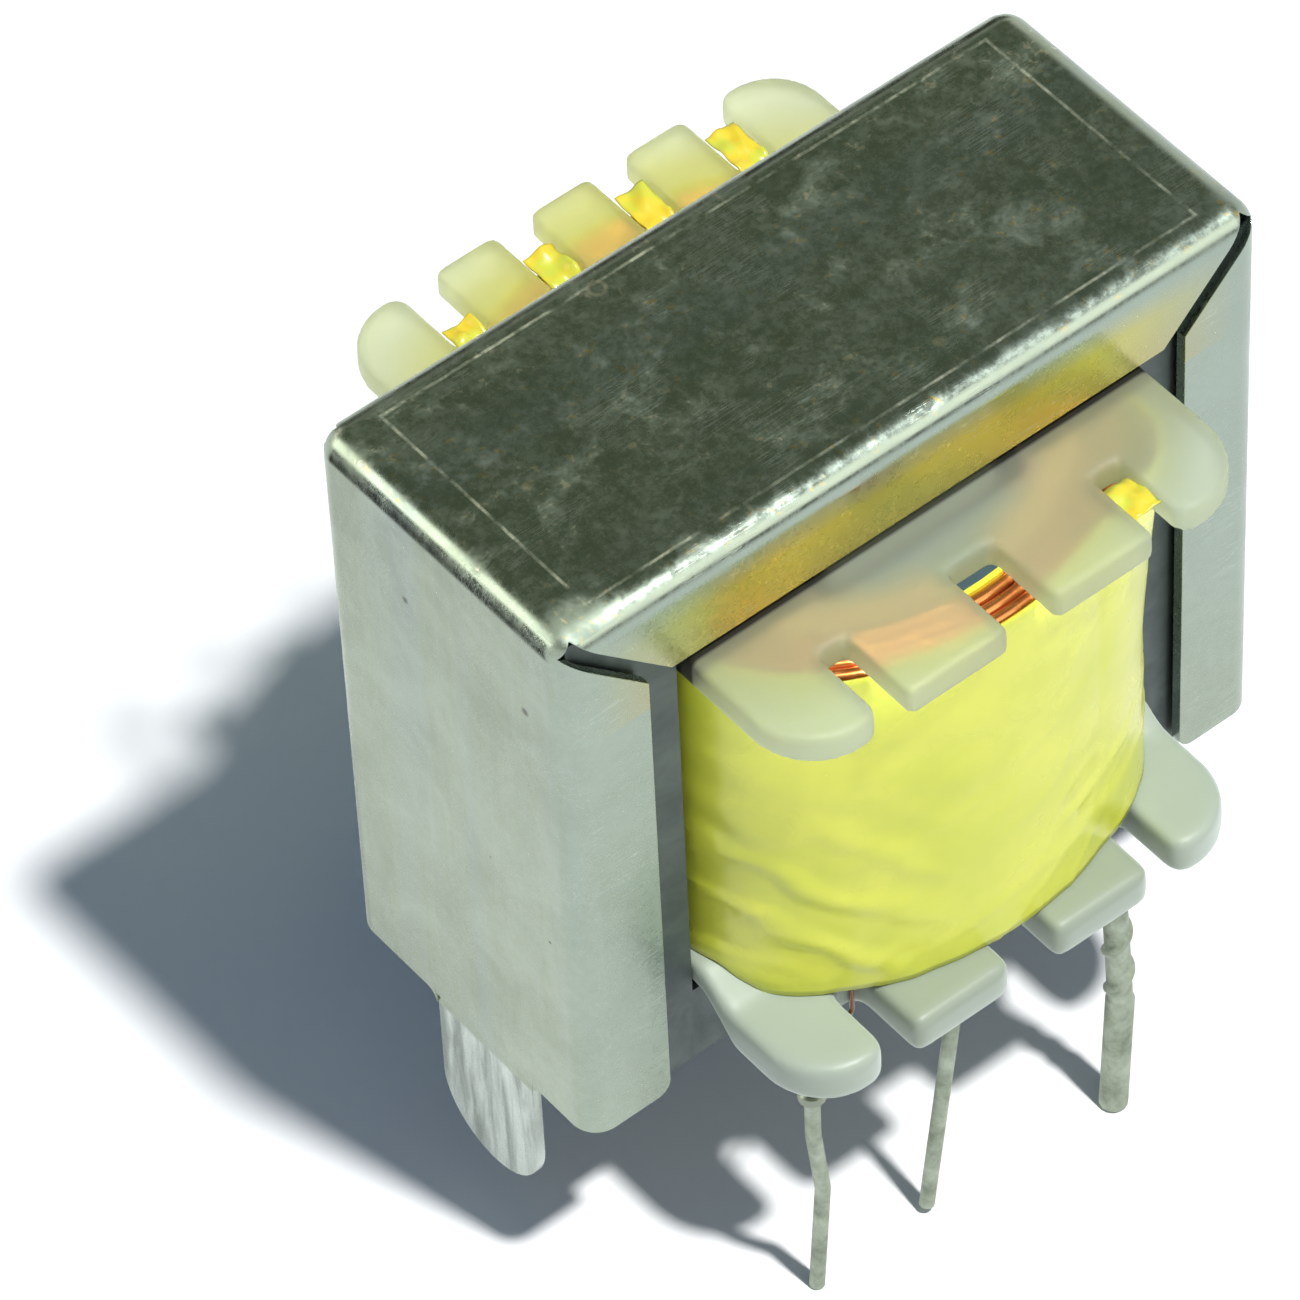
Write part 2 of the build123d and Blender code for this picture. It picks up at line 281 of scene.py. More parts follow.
# thin scratches in two directions and small dark pits
def makeHandlingMarks(look):
    tree, given, out = newGroup("handlingMarks", [
        ("Position", vectorSocket, None), ("Pit Scale", floatSocket, 0.7),
        ("Pit Share", floatSocket, 0.2), ("Scratch Share", floatSocket, 0.5)],
        [("Scratches", floatSocket), ("Pits", floatSocket)])
    position = given.outputs["Position"]
    lines = []
    for turn, scale in look["scratches"]:
        fine = noiseOf(tree, stretched(tree, position, look["along"], turn), scale, *look["scratch"])
        away = maths(tree, "ABSOLUTE", maths(tree, "SUBTRACT", fine, look["halfValue"]))
        lines.append(fading(tree, away, 0.0, look["scratchWidth"]))
    patches = spread(tree, noiseOf(tree, position, *look["patches"]), *look["patchRange"])
    scratches = times(tree, maths(tree, "MAXIMUM", *lines), patches, given.outputs["Scratch Share"])
    plug(tree, scratches, out.inputs["Scratches"])
    cells = addNode(tree, "ShaderNodeTexVoronoi")
    plug(tree, position, cells.inputs["Vector"])
    plug(tree, given.outputs["Pit Scale"], cells.inputs["Scale"])
    chance = times(tree, firstChannel(tree, cells.outputs["Color"]), look["chanceScale"])
    chance = maths(tree, "FRACT", chance)
    chosen = maths(tree, "LESS_THAN", chance, given.outputs["Pit Share"])
    size = plus(tree, noiseOf(tree, position, *look["pitSize"]), look["pitLeast"])
    pit = fading(tree, maths(tree, "DIVIDE", cells.outputs["Distance"], size), *look["pitRange"])
    plug(tree, times(tree, pit, chosen), out.inputs["Pits"])
    return tree


rolledGrain = makeRolledGrain(grainLook)
handlingMarks = makeHandlingMarks(marksLook)


def nodeOf(tree, kind):
    return next(node for node in tree.nodes if node.type == kind)


# material with its Principled shader and positions in millimetres
def startMaterial(name):
    material = bpy.data.materials.new(name)
    material.use_nodes = True
    tree = material.node_tree
    where = addNode(tree, "ShaderNodeTexCoord")
    position = stretched(tree, where.outputs["Object"], (1 / mm, 1 / mm, 1 / mm))
    return material, tree, nodeOf(tree, "BSDF_PRINCIPLED"), position


def bumpOf(tree, height, strength, distance, normal=None):
    node = addNode(tree, "ShaderNodeBump")
    node.inputs["Strength"].default_value = strength
    node.inputs["Distance"].default_value = distance
    plug(tree, height, node.inputs["Height"])
    if normal is not None:
        plug(tree, normal, node.inputs["Normal"])
    return node.outputs[0]


# a fine unevenness all over: noise, strength and depth
def unevenSkin(tree, shader, position, skin):
    kind, strength, depth = skin
    plug(tree, bumpOf(tree, noiseOf(tree, position, *kind), strength, depth), shader.inputs["Normal"])


# roughness from one value to another over a range of a noise
def unevenGloss(tree, shader, value, limits, first, second):
    plug(tree, spread(tree, value, *limits, first, second), shader.inputs["Roughness"])


coilStraight = 3.0    # half the length of the coil's straight sides, in millimetres


# 1 on a coil outline with straight sides and half an ellipse in front and behind, less inside it
def ringOf(tree, position, half, bulge):
    beyond = maths(tree, "MAXIMUM", plus(tree, fromMiddle(tree, position, "Y"), -coilStraight), 0.0)
    across = maths(tree, "DIVIDE", fromMiddle(tree, position, "X"), half)
    along = maths(tree, "DIVIDE", beyond, bulge - coilStraight)
    squares = [maths(tree, "POWER", value, 2.0) for value in (across, along)]
    return maths(tree, "SQRT", plus(tree, *squares))


# Materials

tinplate = {
    "pale": (0.425, 0.50, 0.40, 1), "dull": (0.33, 0.385, 0.285, 1), "cool": (0.38, 0.46, 0.42, 1),
    "grain": {"streakScale": 2.4, "mottleScale": 0.42},
    "marks": {"pitScale": 0.55, "pitShare": 0.2, "scratchShare": 0.4}, "pit": (0.08, 0.08, 0.07, 1),
    "specks": (3.4, 3.0, 0.75), "speckRange": (0.38, 0.62),
    "mottleShare": 0.3, "streakShare": 0.25, "speckShare": 0.45,
    "bandStretch": (0.03, 0.8, 0.03), "bandRange": (0.45, 0.7), "bandShare": 0.7,
    "faces": {"X": 10.0, "Y": 4.3, "Z": 17.0},    # what lies beyond these is on the frame's outer faces
    "smooth": 0.17, "rough": 0.28,
    "scratchRough": 0.15, "speckRough": 0.08, "lineRough": 0.25, "wornRough": 0.15,
    "waves": ((0.22, 1.0), 0.35, 0.25 * mm), "fineStreaks": 0.4, "fine": (0.25, 0.01 * mm),
}
topMarks = {
    "speck": (0.78, 0.76, 0.56, 1), "ochre": (0.62, 0.50, 0.20, 1), "ochreRange": (0.45, 0.55),
    "flecks": (4.0, 3.0, 0.65, 0.6), "fleckRange": (0.59, 0.66), "fleckShare": 0.8,
    "patches": (0.6, 4.0, 0.7, 0.4), "fleckPatch": (0.42, 0.58), "wornPatch": (0.52, 0.68),
    # a scored, partly worn line runs round the top
    "lineX": 8.75, "lineY": 3.6, "lineRange": (0.024, 0.06), "lineShare": 0.45,
    "lineWear": (0.9, 4.0, 0.7), "lineWearRange": (0.38, 0.6),
    "wornCorner": (-9.1, -3.85), "cornerWidth": 0.9, "cornerRough": 0.3,
}
paintedCoilReflection = {
    "olive": (0.63, 0.56, 0.08, 1), "brown": (0.58, 0.44, 0.08, 1),    # the coil's colours, high and low, painted on as its reflection
    "sway": (0.45, 2.0), "swayHeight": 1.2, "levelRange": (14.8, 16.3),
    "across": (5.0, 9.2), "height": (15.9, 16.7), "lowest": 13.7, "share": 0.85,
}
lugDip = {
    "solder": (0.62, 0.70, 0.64, 1), "dark": (0.30, 0.35, 0.31, 1), "levelRange": (-0.42, -0.3),
    "runStretch": (0.4, 2.2, 0.3), "runs": (1.0, 3.0, 0.6, 0.3), "runRange": (0.36, 0.6),
}
# dents and scratches: face axis and side, place on the face, ring radius, line width, colour
pitColour, speckColour = tinplate["pit"], topMarks["speck"]
dents = [
    ("X", -1, (1.27, 14.11), 0.0, 0.13, pitColour), ("X", -1, (-2.97, 14.09), 0.0, 0.15, pitColour),
    ("Y", -1, (2.6, 12.55), 1.71, 0.05, pitColour), ("Y", -1, (2.3, 12.5), 1.55, 0.04, pitColour),
    ("Z", 1, (-2.75, 3.45), 0.2, 0.07, speckColour), ("Z", 1, (1.97, -2.78), 0.0, 0.2, speckColour),
    ("Z", 1, (-5.1, -0.7), 0.0, 0.14, speckColour), ("Z", 1, (-1.7, -1.3), 0.0, 0.1, speckColour),
]
dentCore, dentShare = 0.4, 0.75    # share of a line's width that is full, and its strength


def scoredLine(tree, position, onTop, look):
    inset = [plus(tree, fromMiddle(tree, position, axis), -look[size])
             for axis, size in (("X", "lineX"), ("Y", "lineY"))]
    away = maths(tree, "ABSOLUTE", maths(tree, "MAXIMUM", *inset))
    worn = spread(tree, noiseOf(tree, position, *look["lineWear"]), *look["lineWearRange"])
    return times(tree, fading(tree, away, *look["lineRange"]), onTop, worn)


# a spot, or the line of a ring, on one face
def dentMask(tree, position, axis, side, place, radius, width):
    squares = [maths(tree, "POWER", plus(tree, axisOf(tree, position, other), -centre), 2.0)
               for other, centre in zip([name for name in "XYZ" if name != axis], place)]
    away = plus(tree, maths(tree, "SQRT", plus(tree, *squares)), -radius)
    spot = fading(tree, maths(tree, "ABSOLUTE", away), width * dentCore, width)
    outwards = times(tree, axisOf(tree, position, axis), side)
    return times(tree, spot, isAbove(tree, outwards, tinplate["faces"][axis]))


# painted reflection: how much the front and back flanges of the top take the colours of the coil below them
def coilReflectionShare(tree, position, look):
    across = fading(tree, fromMiddle(tree, position, "X"), *look["across"])
    facing = isAbove(tree, fromMiddle(tree, position, "Y"), tinplate["faces"]["Y"])
    below = fading(tree, axisOf(tree, position, "Z"), *look["height"])
    above = isAbove(tree, axisOf(tree, position, "Z"), look["lowest"])
    return times(tree, across, facing, below, above, look["share"])


# colour of the painted reflection of the coil, browner low down and olive higher up
def paintedReflectionColour(tree, position, look):
    sway = noiseOf(tree, position, *look["sway"])
    level = plus(tree, axisOf(tree, position, "Z"), times(tree, sway, look["swayHeight"]))
    return blendColours(tree, spread(tree, level, *look["levelRange"]), look["brown"], look["olive"])


def dippedColour(tree, position, look):
    runs = noiseOf(tree, stretched(tree, position, look["runStretch"]), *look["runs"])
    return blendColours(tree, spread(tree, runs, *look["runRange"]), look["dark"], look["solder"])


def makeTinplate(look, top, glow, dip):
    material, tree, shader, position = startMaterial("tinplateSheet")
    grain = useGroup(tree, rolledGrain, position=position, **look["grain"])
    marks = useGroup(tree, handlingMarks, position=position, **look["marks"])
    streaks, mottle = grain.outputs["Streaks"], grain.outputs["Mottle"]
    scratches, pits = marks.outputs["Scratches"], marks.outputs["Pits"]
    specks = spread(tree, noiseOf(tree, position, *look["specks"]), *look["speckRange"])
    shade = sumOfShares(tree, (mottle, look["mottleShare"]), (streaks, look["streakShare"]),
                        (specks, look["speckShare"]))
    bands = noiseOf(tree, stretched(tree, position, look["bandStretch"]), 1.0)
    height = axisOf(tree, position, "Z")
    onTop = isAbove(tree, height, look["faces"]["Z"])
    patches = noiseOf(tree, position, *top["patches"])
    flecks = times(tree, spread(tree, noiseOf(tree, position, *top["flecks"]), *top["fleckRange"]),
                   spread(tree, patches, *top["fleckPatch"]), onTop, top["fleckShare"])
    fleckColour = blendColours(tree, spread(tree, bands, *top["ochreRange"]), top["speck"], top["ochre"])
    line = scoredLine(tree, position, onTop, top)
    # one layer is the painted reflection of the coil on the top's front and back flanges
    colour = layered(tree, look["dull"], (shade, look["pale"]),
                     (spread(tree, bands, *look["bandRange"], 0.0, look["bandShare"]), look["cool"]),
                     (flecks, fleckColour),
                     (times(tree, line, top["lineShare"]), top["speck"]),
                     (coilReflectionShare(tree, position, glow), paintedReflectionColour(tree, position, glow)),
                     (fading(tree, height, *dip["levelRange"]), dippedColour(tree, position, dip)),
                     (scratches, dip["solder"]), (pits, look["pit"]))
    for *where, tone in dents:
        colour = blendColours(tree, times(tree, dentMask(tree, position, *where), dentShare), colour, tone)
    plug(tree, colour, shader.inputs["Base Color"])
    worn = times(tree, spread(tree, patches, *top["wornPatch"]), onTop)
    corner = dentMask(tree, position, "Z", 1, top["wornCorner"], 0.0, top["cornerWidth"])
    marked = sumOfShares(tree, (scratches, look["scratchRough"]), (specks, look["speckRough"]),
                         (line, look["lineRough"]), (worn, look["wornRough"]),
                         (corner, top["cornerRough"]))
    rough = plus(tree, spread(tree, mottle, 0.0, 1.0, look["rough"], look["smooth"]), marked)
    plug(tree, rough, shader.inputs["Roughness"])
    shader.inputs["Metallic"].default_value = 1.0
    kind, strength, depth = look["waves"]
    waves = bumpOf(tree, noiseOf(tree, position, *kind), strength, depth)
    relief = plus(tree, times(tree, streaks, look["fineStreaks"]), scratches)
    plug(tree, bumpOf(tree, relief, *look["fine"], waves), shader.inputs["Normal"])
    return material


coreSteel = {
    "light": (0.12, 0.147, 0.143, 1), "dark": (0.05, 0.064, 0.066, 1), "rough": 0.4, "duller": 0.1,
    "metallic": 0.85, "plate": 0.5,    # each plate has its own shade
    "grain": {"streakScale": 3.0, "mottleScale": 0.8}, "plateShare": 0.5, "mottleShare": 0.5,
    "relief": (0.3, 0.01 * mm),
}


def makeCoreSteel(look):
    material, tree, shader, position = startMaterial("coreSteel")
    layer = maths(tree, "FLOOR", maths(tree, "DIVIDE", axisOf(tree, position, "Y"), look["plate"]))
    chance = addNode(tree, "ShaderNodeTexWhiteNoise", noise_dimensions="1D")
    plug(tree, layer, chance.inputs["W"])
    grain = useGroup(tree, rolledGrain, position=position, **look["grain"])
    shade = sumOfShares(tree, (chance.outputs["Value"], look["plateShare"]),
                        (grain.outputs["Mottle"], look["mottleShare"]))
    plug(tree, blendColours(tree, shade, look["dark"], look["light"]), shader.inputs["Base Color"])
    unevenGloss(tree, shader, shade, (0.0, 1.0), look["rough"] + look["duller"], look["rough"])
    shader.inputs["Metallic"].default_value = look["metallic"]
    plug(tree, bumpOf(tree, grain.outputs["Streaks"], *look["relief"]), shader.inputs["Normal"])
    return material


nylonClouds = {
    "clouds": (0.5, 3.0, 0.6), "glossRange": (0.3, 0.7), "duller": 0.1,
    "skin": ((2.2, 3.0), 0.15, 0.02 * mm),
}
clearNylon = {
    **nylonClouds,
    "colour": (0.65, 0.71, 0.58, 1), "overCoil": (0.55, 0.58, 0.38, 1), "overTube": (0.49, 0.53, 0.44, 1),
    "back": (0.64, 0.68, 0.46, 1), "backOverCoil": (0.63, 0.63, 0.22, 1),    # yellower behind, painted yellow light from the tape
    "seam": (0.035, 0.035, 0.02, 1), "seamRange": (4.42, 4.51),    # painted shade, dark where it goes under the frame
    "rough": 0.52, "bend": 1.5, "clear": 0.75, "shadowPass": 0.85,
    "half": 6.4, "bulge": 7.6, "sway": 0.2,    # the coil's outline below it
    "tubeRange": (0.60, 0.78), "coilRange": (1.12, 1.4),
}
solidNylon = {
    **nylonClouds,
    # the rim colour is a painted sheen, paler where a face is seen edge-on
    "body": (0.355, 0.41, 0.335, 1), "rim": (0.62, 0.70, 0.64, 1), "rough": 0.42,
    "rimBlend": 0.4, "rimRange": (0.35, 0.9),
    "level": 13.2,    # it looks solid below this height
    "tab": (0.29, 0.335, 0.262, 1), "tabRange": (3.6, 4.3),    # the tabs between the lobes are darker
}


# milky and see-through, tinted by what lies under it: the colours over the tube and the coil are painted,
# standing for what shows through and for the tape's yellow light scattered in the nylon
def makeClearNylon(look):
    material, tree, shader, position = startMaterial("clearNylon")
    clouds = noiseOf(tree, position, *look["clouds"])
    ring = plus(tree, ringOf(tree, position, look["half"], look["bulge"]), times(tree, clouds, look["sway"]))
    behind = isAbove(tree, axisOf(tree, position, "Y"), 0.0)
    overCoil = blendColours(tree, behind, look["overCoil"], look["backOverCoil"])
    outside = blendColours(tree, behind, look["colour"], look["back"])
    colour = layered(tree, look["overTube"], (spread(tree, ring, *look["tubeRange"]), overCoil),
                     (spread(tree, ring, *look["coilRange"]), outside))
    underFrameShade = fading(tree, fromMiddle(tree, position, "Y"), *look["seamRange"])
    plug(tree, blendColours(tree, underFrameShade, colour, look["seam"]), shader.inputs["Base Color"])
    unevenGloss(tree, shader, clouds, look["glossRange"], look["rough"], look["rough"] + look["duller"])
    shader.inputs["IOR"].default_value = look["bend"]
    shader.inputs["Transmission Weight"].default_value = look["clear"]
    unevenSkin(tree, shader, position, look["skin"])
    paths = addNode(tree, "ShaderNodeLightPath")
    through = addNode(tree, "ShaderNodeBsdfTransparent")
    passing = times(tree, paths.outputs["Is Shadow Ray"], look["shadowPass"])
    surface = mixShaders(tree, passing, shader.outputs[0], through.outputs[0])
    plug(tree, surface, nodeOf(tree, "OUTPUT_MATERIAL").inputs["Surface"])
    return material


def makeSolidNylon(look):
    material, tree, shader, position = startMaterial("milkyNylon")
    clouds = noiseOf(tree, position, *look["clouds"])
    facing = addNode(tree, "ShaderNodeLayerWeight")
    facing.inputs["Blend"].default_value = look["rimBlend"]
    beside = spread(tree, fromMiddle(tree, position, "X"), *look["tabRange"])
    # painted sheen on faces seen edge-on
    rim = spread(tree, facing.outputs["Facing"], *look["rimRange"])
    colour = layered(tree, look["tab"], (beside, look["body"]), (rim, look["rim"]))
    plug(tree, colour, shader.inputs["Base Color"])
    unevenGloss(tree, shader, clouds, look["glossRange"], look["rough"], look["rough"] + look["duller"])
    unevenSkin(tree, shader, position, look["skin"])
    return material


tapeFilm = {
    "bright": (0.655, 0.675, 0.07, 1), "deep": (0.565, 0.61, 0.05, 1),
    "clouds": (0.35, 3.0, 0.6), "cloudRange": (0.35, 0.65),
    # the loose ends above the coil are warmer
    "warm": (0.82, 0.62, 0.04, 1), "endLevel": 13.5, "endClouds": (1.4, 2.0), "endRange": (0.42, 0.6),
    "rough": 0.24, "duller": 0.1, "glossRange": (0.3, 0.7), "coat": 0.25, "coatRough": 0.18,
    "skin": ((3.0, 3.0), 0.2, 0.01 * mm),
}


def makeTapeFilm(look):
    material, tree, shader, position = startMaterial("yellowTape")
    clouds = noiseOf(tree, position, *look["clouds"])
    wrap = blendColours(tree, spread(tree, clouds, *look["cloudRange"]), look["deep"], look["bright"])
    warmth = spread(tree, noiseOf(tree, position, *look["endClouds"]), *look["endRange"])
    loose = blendColours(tree, warmth, look["warm"], look["bright"])
    above = isAbove(tree, axisOf(tree, position, "Z"), look["endLevel"])
    plug(tree, blendColours(tree, above, wrap, loose), shader.inputs["Base Color"])
    unevenGloss(tree, shader, clouds, look["glossRange"], look["rough"] + look["duller"], look["rough"])
    shader.inputs["Coat Weight"].default_value = look["coat"]
    shader.inputs["Coat Roughness"].default_value = look["coatRough"]
    unevenSkin(tree, shader, position, look["skin"])
    return material


enamelledCopper = {
    "copper": (0.86, 0.33, 0.09, 1), "dark": (0.42, 0.10, 0.02, 1),
    "clouds": (1.3, 3.0, 0.6), "cloudRange": (0.35, 0.7),
    "lead": (0.16, 0.06, 0.02, 1), "leadLevel": 3.2,    # the ends below the coil are darker
    "solder": (0.27, 0.31, 0.24, 1), "solderLevel": 1.35,    # what lies below this is soldered over
    "rough": 0.22, "duller": 0.15, "glossRange": (0.3, 0.7), "metallic": 0.9, "coat": 0.8, "coatRough": 0.08,
}


def makeEnamelledCopper(look):
    material, tree, shader, position = startMaterial("enamelledCopper")
    clouds = noiseOf(tree, position, *look["clouds"])
    copper = blendColours(tree, spread(tree, clouds, *look["cloudRange"]), look["copper"], look["dark"])
    height = axisOf(tree, position, "Z")
    copper = blendColours(tree, isAbove(tree, height, look["leadLevel"]), look["lead"], copper)
    bare = isAbove(tree, height, look["solderLevel"])
    plug(tree, blendColours(tree, bare, look["solder"], copper), shader.inputs["Base Color"])
    unevenGloss(tree, shader, clouds, look["glossRange"], look["rough"], look["rough"] + look["duller"])
    shader.inputs["Metallic"].default_value = look["metallic"]
    plug(tree, times(tree, bare, look["coat"]), shader.inputs["Coat Weight"])
    shader.inputs["Coat Roughness"].default_value = look["coatRough"]
    return material


innerWinding = {
    "grey": (0.05, 0.09, 0.11, 1), "pale": (0.09, 0.13, 0.15, 1), "copper": (0.44, 0.20, 0.09, 1),
    "clouds": (0.7, 3.0, 0.6), "cloudRange": (0.35, 0.7), "rough": 0.45,
    "half": 4.84, "bulge": 6.208, "sway": 0.15, "ringRange": (0.74, 0.98),
    "bareHalf": 0.75,    # it lies bare in the middle notch, where it is grey as painted shade of the nylon wall
}
layerTape = dict(innerWinding, grey=(0.80, 0.74, 0.05, 1), pale=(0.85, 0.80, 0.10, 1), half=3.0, bulge=4.0)


# fine wire and its wrapping, seen through the clear flange and in the middle notch, where its grey is painted
# shade of the nylon wall
def makeInnerWinding(name, look):
    material, tree, shader, position = startMaterial(name)
    clouds = noiseOf(tree, position, *look["clouds"])
    grey = blendColours(tree, spread(tree, clouds, *look["cloudRange"]), look["grey"], look["pale"])
    ring = plus(tree, ringOf(tree, position, look["half"], look["bulge"]), times(tree, clouds, look["sway"]))
    aside = isAbove(tree, fromMiddle(tree, position, "X"), look["bareHalf"])
    coppery = times(tree, spread(tree, ring, *look["ringRange"]), aside)
    plug(tree, blendColours(tree, coppery, grey, look["copper"]), shader.inputs["Base Color"])
    shader.inputs["Roughness"].default_value = look["rough"]
    return material


tinnedWire = {
    "pale": (0.44, 0.50, 0.40, 1), "dull": (0.24, 0.28, 0.21, 1),
    "clouds": (1.6, 4.0, 0.65), "cloudRange": (0.32, 0.68),
    "rough": 0.38, "duller": 0.14, "metallic": 0.9, "skin": ((2.6, 3.0), 0.5, 0.03 * mm),
}
dullSolder = dict(tinnedWire, rough=0.44, skin=((2.6, 3.0), 0.5, 0.06 * mm))


def makeTinned(name, look):
    material, tree, shader, position = startMaterial(name)
    shade = spread(tree, noiseOf(tree, position, *look["clouds"]), *look["cloudRange"])
    plug(tree, blendColours(tree, shade, look["dull"], look["pale"]), shader.inputs["Base Color"])
    unevenGloss(tree, shader, shade, (0.0, 1.0), look["rough"] + look["duller"], look["rough"])
    shader.inputs["Metallic"].default_value = look["metallic"]
    unevenSkin(tree, shader, position, look["skin"])
    return material


materials = {
    "tinplate": makeTinplate(tinplate, topMarks, paintedCoilReflection, lugDip),
    "core_steel": makeCoreSteel(coreSteel),
    "nylon": makeClearNylon(clearNylon),
    "polyester_tape": makeTapeFilm(tapeFilm),
    "enamelled_copper": makeEnamelledCopper(enamelledCopper),
    "tinned_wire": makeTinned("tinnedWire", tinnedWire),
    "solder": makeTinned("dullSolder", dullSolder),
}
slotOfNode = {row["node"]: row["material_slot"] for row in frame["record"]["subparts"]}
lowerNylon = makeSolidNylon(solidNylon)
ownMaterials = {
    "primary_winding": makeInnerWinding("innerWinding", innerWinding),
    "layer_tape": makeInnerWinding("layerTape", layerTape),
}
for name, node in nodes.items():
    node.data.materials.clear()
    node.data.materials.append(ownMaterials.get(name, materials[slotOfNode[name]]))
print("materials made:", len(materials) + len(ownMaterials) + 1)


# Smooth, merged copies of the CAD solids whose curves show

beveled = {
    "frame": {"bevel": 0.02 * mm},
    "pin_front_left": {}, "pin_front_middle": {}, "pin_front_right": {},
    "pin_back_left": {}, "pin_back_right": {},
    "lead_front_left": {}, "lead_front_middle": {}, "lead_back_left": {}, "lead_back_right": {},
}
softened = {
    # voxel size, rounds of smoothing, height below which they count in full and share of them above
    "bobbin": {"voxel": 0.1 * mm, "rounds": 40, "level": 6 * mm, "upperShare": 0.12},
    "lead_front_right": {"voxel": 0.035 * mm, "rounds": 4, "level": 6 * mm, "upperShare": 1},
}
copyLook = {
    "merge": 0.002 * mm, "flat": 0.4, "edge": 30, "bevelSteps": 3,    # angles in degrees
    "softStep": 0.5, "thinning": 1, "softEdge": 60,
}


# rides and stands for its node
def finishPiece(piece, nodeName):
    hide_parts(nodeName)
    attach(piece, "root")


def linkPiece(name, mesh):
    piece = bpy.data.objects.new(name, mesh)
    scene.collection.objects.link(piece)
    return piece


def meshOf(thing):
    graph = bpy.context.evaluated_depsgraph_get()
    return bpy.data.meshes.new_from_object(thing.evaluated_get(graph))


# the evaluated mesh in place of the modifiers
def bakeModifiers(piece):
    mesh = meshOf(piece)
    old = piece.data
    piece.modifiers.clear()
    piece.data = mesh
    bpy.data.meshes.remove(old)


def mergedCopy(nodeName, dissolve=False):
    mesh = bpy.data.meshes.new(nodeName + "Piece")
    form = bmesh.new()
    form.from_mesh(nodes[nodeName].data)
    bmesh.ops.remove_doubles(form, verts=form.verts, dist=copyLook["merge"])
    if dissolve:
        flat = math.radians(copyLook["flat"])
        bmesh.ops.dissolve_limit(form, angle_limit=flat, verts=form.verts, edges=form.edges)
    form.to_mesh(mesh)
    form.free()
    mesh.materials.append(nodes[nodeName].data.materials[0])
    return linkPiece(nodeName + "Piece", mesh)


def shadeSmooth(piece, angle):
    form = bmesh.new()
    form.from_mesh(piece.data)
    for face in form.faces:
        face.smooth = True
    for edge in form.edges:
        edge.smooth = len(edge.link_faces) == 2 and edge.calc_face_angle(0) < math.radians(angle)
    form.to_mesh(piece.data)
    form.free()


def beveledCopy(nodeName, bevel=0.0):
    piece = mergedCopy(nodeName, dissolve=bevel > 0)
    shadeSmooth(piece, copyLook["edge"])
    if bevel:
        rounding = piece.modifiers.new("rounding", "BEVEL")
        rounding.width, rounding.segments = bevel, copyLook["bevelSteps"]
        rounding.limit_method, rounding.angle_limit = "ANGLE", math.radians(copyLook["edge"])
        rounding.use_clamp_overlap = False
    even = piece.modifiers.new("evenShading", "WEIGHTED_NORMAL")
    even.keep_sharp = not bevel
    bakeModifiers(piece)
    finishPiece(piece, nodeName)


# a moulded or soldered form: an even mesh whose edges are smoothed round, then thinned where flat
def softenedCopy(nodeName, voxel, rounds, level, upperShare):
    piece = mergedCopy(nodeName)
    even = piece.modifiers.new("evenMesh", "REMESH")
    even.mode, even.voxel_size = "VOXEL", voxel
    bakeModifiers(piece)
    softness = piece.vertex_groups.new(name="softness")
    lower = [vertex.index for vertex in piece.data.vertices if vertex.co.z < level]
    upper = [vertex.index for vertex in piece.data.vertices if vertex.co.z >= level]
    softness.add(lower, 1.0, "REPLACE")
    softness.add(upper, upperShare, "REPLACE")
    soften = piece.modifiers.new("soften", "SMOOTH")
    soften.factor, soften.iterations = copyLook["softStep"], rounds
    soften.vertex_group = softness.name
    thin = piece.modifiers.new("thin", "DECIMATE")
    thin.decimate_type, thin.angle_limit = "DISSOLVE", math.radians(copyLook["thinning"])
    bakeModifiers(piece)
    piece.vertex_groups.clear()
    shadeSmooth(piece, copyLook["softEdge"])
    piece.modifiers.new("evenShading", "WEIGHTED_NORMAL")
    bakeModifiers(piece)
    finishPiece(piece, nodeName)
    return piece


for nodeName, look in beveled.items():
    beveledCopy(nodeName, **look)
print("beveled copies made:", len(beveled))
for nodeName, look in softened.items():
    softPiece = softenedCopy(nodeName, **look)
    if nodeName == "bobbin":
        softPiece.data.materials.append(lowerNylon)
        for face in softPiece.data.polygons:
            face.material_index = int(face.center.z < solidNylon["level"] * mm)
    print("softened copy made:", nodeName, len(softPiece.data.polygons), "faces")


# Inner winding and layer tape, kept just clear of the flanges they touch

flangeGap = 0.03 * mm

for nodeName in ownMaterials:
    low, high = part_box(nodeName)
    piece = mergedCopy(nodeName)
    for vertex in piece.data.vertices:
        vertex.co.z = min(high.z - flangeGap, max(low.z + flangeGap, vertex.co.z))
    shadeSmooth(piece, copyLook["edge"])
    finishPiece(piece, nodeName)
print("inner layers made")


# Closed plan outline of the coil, counterclockwise: straight sides, half an ellipse in front and behind

def coilOutline(half, bulge, sidePoints, archPoints):
    straight = coilStraight * mm
    points = []
    for side in (1, -1):
        for number in range(sidePoints):
            points.append(Vector((side * half, side * straight * (2 * number / sidePoints - 1), 0)))
        for number in range(archPoints):
            angle = math.pi * number / archPoints
            reach = straight + (bulge - straight) * math.sin(angle)
            points.append(Vector((side * half * math.cos(angle), side * reach, 0)))
    return points


# Copper turns of the outer winding, wound ring by ring

turnsLook = {
    "wire": 0.35 * mm, "layers": 3, "looseness": 0.015 * mm, "seed": 4, "sides": 8,
    "sidePoints": 10, "archPoints": 44,
}


